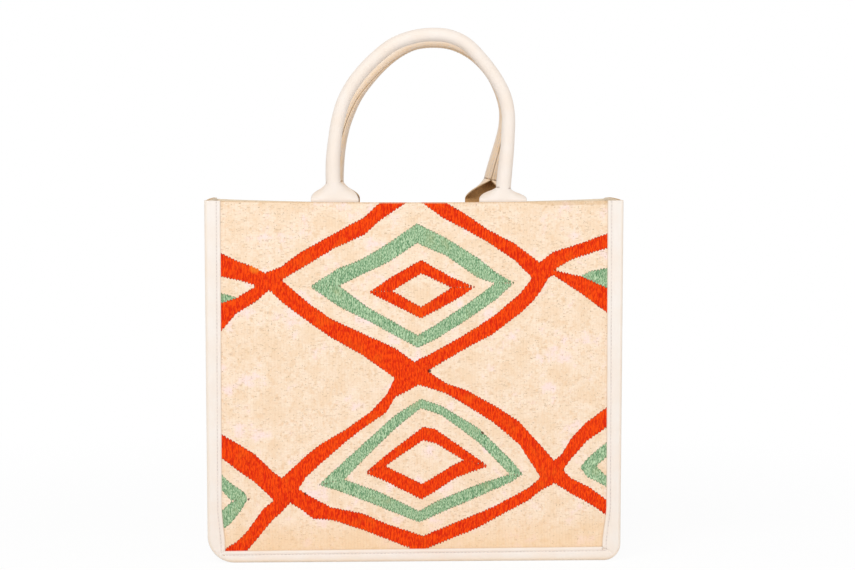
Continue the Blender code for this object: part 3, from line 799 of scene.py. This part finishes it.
# Gusset
gusset = {
    "inset": 0.0017,
    "leather": 0.0015,
    "crown": (gussetHigh.z - bindingHigh.z) * 0.6,
    "halfDepth": gussetHigh.y,
    "step": 0.0040,
    "turnSteps": 14,
    "columns": 48,
    "pinch": 0.0030,
    "pinchFrom": 0.12,
    "ripple": 0.0007,
    "floorBow": 0.0006,
}


def gussetBow(y):
    # 1 at mid depth, 0 at the front and back
    return max(1 - (y / gusset["halfDepth"]) ** 2, 0.0)


def gussetPinch(y, z):
    # the sides fold in a little at mid depth, more towards the rim
    share = gussetBow(y)
    reach = soft((z - gusset["pinchFrom"]) / (bag["rim"] - gusset["pinchFrom"]))
    return gusset["pinch"] * share * share * reach


def makeGusset():
    sizes = gusset
    path = outlinePath(sizes["inset"], bag["rim"], sizes["step"], sizes["turnSteps"])

    def place(u, v):
        x, z, part, share = path[round(v * (len(path) - 1))]
        y = (2 * u - 1) * sizes["halfDepth"]
        side = -1 if x < 0 else 1
        bow = gussetBow(y)
        inward = gussetPinch(y, z)
        ripple = uneven(y * 35, z * 22, side * 4.0) * sizes["ripple"] * bow
        if part == "bottom":
            return Vector((x, y, z + sizes["floorBow"] * bow))
        lifted = z + sizes["crown"] * bow * (z / bag["rim"]) ** 12
        return Vector((x - side * (inward + max(ripple, 0.0)), y, lifted))

    def wear(u, v):
        return 0.5 if v < 0.006 or v > 0.994 else 0.0

    bm = shapedSheet(sizes["columns"], len(path) - 1, place, False, (1, 1), wear)
    piece = addPiece("side_gusset", bm, [leather, flesh, cutEdge], "gusset_leather", "gusset")
    thicken(piece, sizes["leather"], -1)


makeGusset()
print("gusset bent")

# Facing inside the mouth
facing = {
    "leather": 0.0013,
    "corner": 0.0050,
    "foot": facingLow.z,
    "halfX": facingHigh.x,
    "halfY": facingHigh.y,
    "rows": 20,
    "step": 0.0030,
    "tabPuff": 0.0011,
    "tabHalf": 0.0228,
    "tabFade": 0.0060,
    "cornerFade": 0.0100,
    "dimple": 0.0005,
    "gussetClear": 0.0004,
}
# x of each handle's two legs, at the front (-1) and the back (1)
handleLegs = {-1: (-0.0760, 0.0845), 1: (-0.0740, 0.0775)}


def mouthLoop():
    # (x, y) points anticlockwise around the mouth
    loop = []
    radius = facing["corner"]
    halfX, halfY = facing["halfX"] - radius, facing["halfY"] - radius
    corners = ((halfX, halfY), (-halfX, halfY), (-halfX, -halfY), (halfX, -halfY))
    for turn, (x, y) in enumerate(corners):
        for i in range(7):
            angle = math.pi / 2 * (turn + i / 6)
            loop.append(Vector((x + radius * math.cos(angle), y + radius * math.sin(angle))))
        after = corners[(turn + 1) % 4]
        angle = math.pi / 2 * (turn + 1)
        start = loop[-1]
        end = Vector(after) + radius * Vector((math.cos(angle), math.sin(angle)))
        steps = round((end - start).length / facing["step"])
        loop += [start.lerp(end, i / steps) for i in range(1, steps)]
    return loop + [loop[0]]


def makeFacing():
    sizes = facing
    loop = mouthLoop()

    def place(u, v):
        spot = loop[round(u * (len(loop) - 1))]
        onSide = abs(spot.x) > sizes["halfX"] - sizes["corner"] * 0.5
        x, y = spot
        top = bag["rim"] - rimDrop(x, y)
        if onSide:
            top += gusset["crown"] * gussetBow(y)
        z = sizes["foot"] + (top - sizes["foot"]) * v
        if onSide:
            lean = halfWidth(z) - halfWidth(sizes["foot"])
            x += math.copysign(1.0, x) * (lean - gussetPinch(y, z) * 1.05 - sizes["gussetClear"])
        else:
            face = -1 if y < 0 else 1
            away = min(abs(x - leg) for leg in handleLegs[face])
            puff = soft((away - sizes["tabHalf"]) / sizes["tabFade"])
            puff *= soft((bag["topHalf"] - sizes["tabFade"] - abs(x)) / sizes["cornerFade"])
            dimple = max(uneven(x * 30, z * 30, face), 0.0)
            y += face * (sizes["tabPuff"] * puff - sizes["dimple"] * dimple)
        return Vector((x, y, z))

    def wear(u, v):
        return 0.6 if v > 0.99 else 0.0

    bm = shapedSheet(len(loop) - 1, sizes["rows"], place, False, (1, 1), wear)
    bmesh.ops.remove_doubles(bm, verts=bm.verts, dist=0.00002)
    piece = addPiece("inner_facing", bm, [facingLeather, facingLeather, cutEdge],
                     "facing_leather", "mouth_facing")
    thicken(piece, sizes["leather"], -1)


facingLeather = leatherMaterial(
    "facing_leather", dye(242, 225, 198), dye(231, 208, 174), dye(240, 224, 200), 0.6)
makeFacing()
print("facing sewn in")

# The gusset's folded seam ends, which close the four corners of the rim
seamEnds = {
    "length": 0.0300,
    "belowRim": 0.0006,
    "play": 0.0002,
    "round": 0.0009,
    "cuts": 14,
    "unevenness": 0.0004,
}


def makeSeamEnds():
    sizes = seamEnds
    low = Vector((kilim["ribs"] * kilim["ribPitch"] / 2, facing["halfY"] + facing["tabPuff"],
                  bag["rim"] - sizes["belowRim"] - sizes["length"]))
    high = Vector((bag["topHalf"] - gusset["inset"] - gusset["leather"], bag["face"] - binding["leather"],
                   bag["rim"] - sizes["belowRim"]))
    gap = Vector((sizes["play"], sizes["play"], 0.0))
    low, high = low + gap, high - gap
    middle = (low + high) / 2
    bm = bmesh.new()
    for side in (-1, 1):
        for face in (-1, 1):
            spot = Vector((side * middle.x, face * middle.y, middle.z))
            place = Matrix.Translation(spot) @ Matrix.Diagonal(high - low).to_4x4()
            bmesh.ops.create_cube(bm, size=1.0, matrix=place)
    upright = [edge for edge in bm.edges if abs((edge.verts[0].co - edge.verts[1].co).z) > 0.01]
    bmesh.ops.subdivide_edges(bm, edges=upright, cuts=sizes["cuts"])
    corners = [edge for edge in bm.edges if len(edge.link_faces) == 2 and edge.calc_face_angle() > 1]
    bmesh.ops.bevel(bm, geom=corners, offset=sizes["round"], affect="EDGES", segments=3, profile=0.5,
                    material=-1, clamp_overlap=True)
    for vert in bm.verts:
        rise = (vert.co.z - low.z) / (high.z - low.z)
        vert.co.x -= math.copysign((bag["topHalf"] - halfWidth(vert.co.z)), vert.co.x)
        vert.co.z += sizes["unevenness"] * noise.noise(vert.co * 300) * rise
    addPiece("gusset_seam_ends", bm, [cutEdge], "gusset_leather")


makeSeamEnds()
print("seam ends tucked into the corners")

# Lining
lining = {
    "cloth": 0.0006,
    "cuts": 40,
    "halfX": 0.1960,
    "halfY": liningHigh.y,
    "foot": liningLow.z,
    "top": liningHigh.z,
    "cornerInset": 0.0036,
    "fold": 0.0045,
    "floorRuck": 0.0012,
    "threads": 1100.0,
}


def makeLining():
    sizes = lining
    bm = bmesh.new()
    bmesh.ops.create_cube(bm, size=2.0)
    bmesh.ops.subdivide_edges(bm, edges=bm.edges, cuts=sizes["cuts"], use_grid_fill=True)
    lid = [face for face in bm.faces if face.calc_center_median().z > 0.999]
    bmesh.ops.delete(bm, geom=lid, context="FACES")
    for vert in bm.verts:
        u, w, v = vert.co
        z = sizes["foot"] + (sizes["top"] - sizes["foot"]) * (v + 1) / 2
        half = halfWidth(z) - bag["topHalf"] + sizes["halfX"]
        x = u * half
        y = w * sizes["halfY"]
        radius = cornerRadius(x) - sizes["cornerInset"]
        centre = Vector((half - radius, sizes["foot"] + radius))
        off = Vector((abs(x) - centre.x, z - centre.y))
        if off.x > 0 and off.y < 0:
            reach = max(off.x, -off.y)
            spot = centre + off.normalized() * reach
            x, z = math.copysign(spot.x, x), spot.y
        # the cloth hangs in shallow folds away from its sewn top edge and its floor
        slack = soft((1 - v) / 0.25) * soft((v + 1) / 0.2) * sizes["fold"]
        ruck = uneven(x * 16, z * 7, y * 16) + 0.35
        ruck += 0.4 * uneven(x * 45, z * 20, y * 45)
        if abs(w) > 0.999:
            y -= math.copysign(max(ruck, 0.0) * slack, w)
        elif abs(u) > 0.999:
            x -= math.copysign(max(ruck, 0.0) * slack + gussetPinch(y, z), u)
        else:
            z += max(ruck, 0.0) * sizes["floorRuck"] * soft((1 - abs(u)) / 0.1) * soft((1 - abs(w)) / 0.2)
        vert.co = (x, y, z)
    piece = addPiece("cotton_lining", bm, [cotton, cotton, cotton], "lining_cotton", "lining")
    thicken(piece, sizes["cloth"], -1)


def cottonMaterial():
    material, tree, shader = newMaterial("lining_cotton", 0.9, sheen=0.15, specular=0.2)
    place = objectPlace(tree)
    turned = addNode(tree, "Mapping", {"Vector": place, "Rotation": (0.0, 0.0, 0.6),
                                       "Scale": (lining["threads"],) * 3}).outputs[0]
    parts = split(tree, turned)
    cells = addNode(tree, "CombineXYZ", {0: plus(tree, parts[0], parts[1]), 1: parts[2]})
    cloth = useGroup(tree, weave, {"Cells": cells.outputs[0]})
    slow = noiseAt(tree, place, 30.0, 3.0)
    colour = tint(tree, cloth["Bead Tone"], dye(206, 178, 138), dye(190, 160, 120))
    colour = stain(tree, colour, slow, 0.4, 0.75, 0.5, dye(176, 146, 106))
    wireUp(tree, shader, colour, cloth["Height"], 0.4, 0.0002)
    return material


cotton = cottonMaterial()
makeLining()
print("lining hung")

# Handles: the leather strip and its tabs, then each handle's rise above the rim and its route,
# as shares of the span between the legs and of the rise
handleSizes = {
    "roll": 0.0130,
    "rollFoot": 0.0144,
    "rollTaper": 0.0500,
    "leather": 0.0014,
    "openAngle": math.radians(3),
    "tabWidth": 0.0455,
    "tabDepth": 0.0300,
    "tabRound": 0.0160,
    "tipWidth": 0.0140,
    "tabRise": 0.0008,
    "closingPower": 3,
    "crowding": 1.6,
    "lean": 0.0040,
    "tabMiddle": 0.0057,
    "routeSteps": 12,
    "across": 34,
    "rollStep": 0.0022,
    "flareSteps": 26,
    "tabSteps": 12,
    "stitchInset": 0.0021,
    "stitchPitch": 0.0036,
    "stitchLength": 0.0030,
    "threadWidth": 0.0006,
    "threadHeight": 0.0005,
    "ripple": 0.00012,
    "wear": 0.8,
}
frontHandle = {
    "legs": handleLegs[-1],
    "rise": 0.1580,
    # the height where each end's roll closes, and how evenly the tab rolls up to it
    "closings": (0.0164, 0.0112),
    "evenness": (0.64, 0.70),
    "route": [
        (-0.01, 0.12), (-0.01, 0.24), (0.00, 0.36), (0.018, 0.475), (0.054, 0.60), (0.125, 0.725),
        (0.23, 0.845), (0.35, 0.94), (0.48, 0.988), (0.60, 1.00), (0.70, 0.985), (0.80, 0.93),
        (0.92, 0.794), (1.00, 0.66), (1.033, 0.53), (1.033, 0.39), (1.024, 0.266), (1.01, 0.13),
    ],
    # how far the seam is turned round the roll, in degrees, at shares of the handle's length
    "twist": [(0.0, 0), (0.1, 0), (0.3, -16), (0.6, -12), (0.85, 0), (1.0, 0)],
}
rearHandle = {
    "legs": handleLegs[1],
    "rise": 0.1582,
    "closings": (0.0170, 0.0190),
    "evenness": (0.95, 1.00),
    "route": [
        (-0.004, 0.12), (0.004, 0.25), (0.024, 0.38), (0.062, 0.511), (0.126, 0.647),
        (0.228, 0.78), (0.352, 0.896), (0.485, 0.972), (0.62, 0.995), (0.765, 0.98),
        (0.90, 0.915), (1.01, 0.81), (1.079, 0.69), (1.113, 0.57), (1.11, 0.45),
        (1.079, 0.33), (1.043, 0.21), (1.012, 0.09),
    ],
    "twist": [(0.0, 0), (0.1, 0), (0.25, 20), (0.42, 62), (0.6, 62), (0.75, 20), (0.88, 0), (1.0, 0)],
}


def smoothCurve(points, steps):
    ends = [2 * points[0] - points[1]] + points + [2 * points[-1] - points[-2]]
    curve = []
    for a, b, c, d in zip(ends, ends[1:], ends[2:], ends[3:]):
        for i in range(steps):
            t = i / steps
            bend = (2 * a - 5 * b + 4 * c - d) * t * t + (3 * b - a - 3 * c + d) * t ** 3
            curve.append(b + ((c - a) * t + bend) / 2)
    return curve + [points[-1]]


def handleRoute(handle, face):
    left, right = handle["legs"]
    plane = face * (bag["face"] - handleSizes["tabMiddle"])
    chosen = []
    for across, up in [(0.0, 0.0)] + handle["route"] + [(1.0, 0.0)]:
        y = plane - face * handleSizes["lean"] * soft(up)
        chosen.append(Vector((left + (right - left) * across, y, bag["rim"] + handle["rise"] * up)))
    curve = smoothCurve(chosen, handleSizes["routeSteps"])
    runs = [0.0]
    for a, b in zip(curve, curve[1:]):
        runs.append(runs[-1] + (b - a).length)
    return curve, runs


def routePoint(curve, runs, where):
    if where <= 0:
        return curve[0] + Vector((0, 0, where))
    if where >= runs[-1]:
        return curve[-1] - Vector((0, 0, where - runs[-1]))
    i = next(k for k, run in enumerate(runs) if run > where)
    return curve[i - 1].lerp(curve[i], (where - runs[i - 1]) / (runs[i] - runs[i - 1]))


def endStations(closing):
    # heights of the sections at one end, closer together towards the flare's top
    sizes = handleSizes
    stations = [-sizes["tabDepth"] * (1 - soft(i / sizes["tabSteps"])) for i in range(sizes["tabSteps"])]
    for i in range(sizes["flareSteps"] + 1):
        share = 1 - (1 - i / sizes["flareSteps"]) ** sizes["crowding"]
        stations.append(sizes["tabRise"] + (closing - sizes["tabRise"]) * share)
    return stations


def handleStations(handle, length):
    left, right = (endStations(closing) for closing in handle["closings"])
    first, last = left[-1], length - right[-1]
    runs = round((last - first) / handleSizes["rollStep"])
    roll = [first + (last - first) * i / runs for i in range(1, runs)]
    return left + roll + [length - where for where in reversed(right)]


def handleSection(handle, curve, runs, where, face):
    # centre, direction, outward side, width and curl of the leather at a distance along
    sizes = handleSizes
    length = runs[-1]
    end = 0 if where < length / 2 else 1
    closing, evenness = handle["closings"][end], handle["evenness"][end]
    above = min(where, length - where)
    centre = routePoint(curve, runs, where)
    onward = routePoint(curve, runs, where + 0.003) - routePoint(curve, runs, where - 0.003)
    upright = Vector((0, 0, 1 - 2 * end))
    along = upright.lerp(onward.normalized(), soft((above - sizes["tabRise"]) / closing)).normalized()
    share = min(max((above - sizes["tabRise"]) / (closing - sizes["tabRise"]), 0.0), 1.0)
    fullCurl = 2 * math.pi - sizes["openAngle"]
    thinned = soft((above - closing) / sizes["rollTaper"])
    roll = sizes["rollFoot"] + (sizes["roll"] - sizes["rollFoot"]) * thinned
    if above >= 0:
        rollWidth = fullCurl * (roll - sizes["leather"]) / 2
        width = sizes["tabWidth"] + (rollWidth - sizes["tabWidth"]) * share
    else:
        short = max(sizes["tabRound"] - sizes["tabDepth"] - above, 0.0) / sizes["tabRound"]
        fullness = math.sqrt(1 - min(short, 1.0) ** 2)
        width = sizes["tipWidth"] + (sizes["tabWidth"] - sizes["tipWidth"]) * fullness
    out = Vector((0, face, 0))
    out = (out - along * out.dot(along)).normalized()
    curl = fullCurl * (evenness * share + (1 - evenness) * share ** sizes["closingPower"])
    return centre, along, out, width, curl


def leatherPoint(section, share, twist):
    # a point of the leather's middle and its outward normal; share runs from -0.5 to 0.5
    centre, along, out, width, curl = section
    across = along.cross(out)
    if curl < math.radians(1):
        return centre + across * width * share, out
    radius = width / curl
    turn = curl * share + math.radians(twist)
    normal = out * math.cos(turn) + across * math.sin(turn)
    return centre - out * radius + normal * radius, normal


def makeHandle(name, handle, face, node):
    sizes = handleSizes
    curve, runs = handleRoute(handle, face)
    length = runs[-1]
    stations = handleStations(handle, length)
    sections = [handleSection(handle, curve, runs, where, face) for where in stations]
    twists = [between(handle["twist"], min(max(where / length, 0.0), 1.0)) for where in stations]

    def place(u, v):
        j = round(v * (len(stations) - 1))
        spot, normal = leatherPoint(sections[j], u - 0.5, twists[j])
        return spot + normal * noise.noise(spot * 70) * sizes["ripple"]

    def wear(u, v):
        j = round(v * (len(stations) - 1))
        curl = sections[j][4] / (2 * math.pi)
        edge = abs(u - 0.5) * 2
        return soft((edge - 0.35) / 0.6) * sizes["wear"] * curl

    bm = shapedSheet(sizes["across"], len(stations) - 1, place, False, (1, length * 100), wear)
    piece = addPiece(name, bm, [handleLeather, flesh, cutEdge], "handle_leather", node)
    thicken(piece, sizes["leather"], 0)
    bm = bmesh.new()
    spots = []
    first, last = handle["closings"][0], length - handle["closings"][1]
    count = int((last - first) / sizes["stitchPitch"])
    for i in range(count):
        where = first + (last - first) * (i + 0.5) / count
        section = handleSection(handle, curve, runs, where, face)
        twist = between(handle["twist"], where / length)
        for side in (-1, 1):
            share = side * (0.5 - sizes["stitchInset"] / section[3])
            spot, normal = leatherPoint(section, share, twist)
            spots.append((spot + normal * (sizes["leather"] / 2), section[1], normal))
    addStitches(bm, spots, sizes["stitchLength"], sizes["threadWidth"], sizes["threadHeight"])
    addPiece(name + "_stitches", bm, [thread], "handle_leather")


makeHandle("front_rolled_handle", frontHandle, -1, "front_handle")
makeHandle("rear_rolled_handle", rearHandle, 1, "rear_handle")
print("handles rolled and stitched")


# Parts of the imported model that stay: the board and the cords inside the handles
def cordMaterial():
    material, tree, shader = newMaterial("twisted_cotton_cord", 0.9, sheen=0.1, specular=0.2)
    place = objectPlace(tree)
    turned = addNode(tree, "Mapping", {"Vector": place, "Rotation": (0.0, 0.6, 0.0),
                                       "Scale": (420.0, 420.0, 420.0)}).outputs[0]
    cloth = useGroup(tree, weave, {"Cells": turned})
    colour = tint(tree, cloth["Bead Tone"], dye(226, 212, 184), dye(204, 186, 152))
    wireUp(tree, shader, colour, cloth["Height"], 0.7, 0.0005)
    return material


def dressNode(node, material):
    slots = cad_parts[node].data.materials
    slots.clear()
    slots.append(material)


board = streakMaterial(
    "pressed_fibreboard", dye(150, 126, 96), dye(108, 86, 62), (260.0, 900.0, 260.0), 5.0, 0.7,
    0.3, 0.0003, roughness=0.85, specular=0.2)
dressNode("base_board", board)
cord = cordMaterial()
for node in ("front_handle_core", "rear_handle_core"):
    dressNode(node, cord)
print("board and cords coloured")

# Studio: a pale floor, a white surround and soft lamps
studio = {
    "floorHalf": 8.0,
    "surround": 0.64,
    "keyPower": 30.0,
    "keyPlace": (-0.9, -2.0, 1.9),
    "keySize": 1.8,
    "fillPower": 7.5,
    "fillPlace": (1.6, -1.5, 0.9),
    "fillSize": 1.6,
    "floorGlow": 0.92,
    "glowFrom": 0.35,
    "glowFull": 1.10,
    "white": 1.0,
}
camera = {
    "azimuth": math.radians(-2.2),
    "elevation": math.radians(3.0),
    "place": (-0.0683, -2.159, 0.3759),
    "focalPixels": 2200,
    "imageWidth": 855,
    "sensor": 36,
}


def seenWhite(tree):
    # 1 for the rays that should meet a white surround: those of the camera, mirrors and glass
    path = addNode(tree, "LightPath").outputs
    seen = calc(tree, "ADD", path["Is Camera Ray"], path["Is Glossy Ray"], clamp=True)
    return calc(tree, "ADD", seen, path["Is Transmission Ray"], clamp=True)


def makeStudio():
    bm = bmesh.new()
    bmesh.ops.create_grid(bm, x_segments=1, y_segments=1, size=studio["floorHalf"])
    material, tree, shader = newMaterial("pale_floor", 0.9, specular=0.0)
    shader.inputs["Base Color"].default_value = dye(252, 252, 252)
    reach = addNode(tree, "VectorMath", {0: objectPlace(tree)}, operation="LENGTH").outputs["Value"]
    share = spread(tree, reach, studio["glowFrom"], studio["glowFull"], studio["floorGlow"], 1.0)
    seen = times(tree, seenWhite(tree), share)
    glow = addNode(tree, "Emission", {"Color": (1.0, 1.0, 1.0, 1.0), "Strength": studio["white"]})
    mixed = addNode(tree, "MixShader", {0: seen, 1: shader.outputs[0], 2: glow.outputs[0]})
    tree.links.new(mixed.outputs[0], tree.nodes["Material Output"].inputs["Surface"])
    meshObject("floor", bm, [material])

    world = bpy.data.worlds.new("surround")
    bpy.context.scene.world = world
    world.use_nodes = True
    tree = world.node_tree
    shell = tree.nodes["Background"]
    shell.inputs["Color"].default_value = (1.0, 1.0, 1.0, 1.0)
    strength = spread(tree, seenWhite(tree), 0.0, 1.0, studio["surround"], studio["white"])
    tree.links.new(strength, shell.inputs["Strength"])

    for name in ("key", "fill"):
        light = bpy.data.lights.new(name, "AREA")
        light.energy = studio[name + "Power"]
        light.size = studio[name + "Size"]
        lamp = intoScene(name, light)
        lamp.location = studio[name + "Place"]
        aim = Vector((0, 0, 0.22)) - lamp.location
        lamp.rotation_euler = aim.to_track_quat("-Z", "Y").to_euler()


def makeCamera():
    data = bpy.data.cameras.new("camera")
    data.sensor_width = camera["sensor"]
    data.lens = camera["sensor"] * camera["focalPixels"] / camera["imageWidth"]
    eye = intoScene("camera", data)
    eye.location = camera["place"]
    eye.rotation_euler = (math.pi / 2 - camera["elevation"], 0, camera["azimuth"])
    bpy.context.scene.camera = eye


makeStudio()
makeCamera()
bpy.context.scene.view_settings.view_transform = "Standard"
print("studio lit")
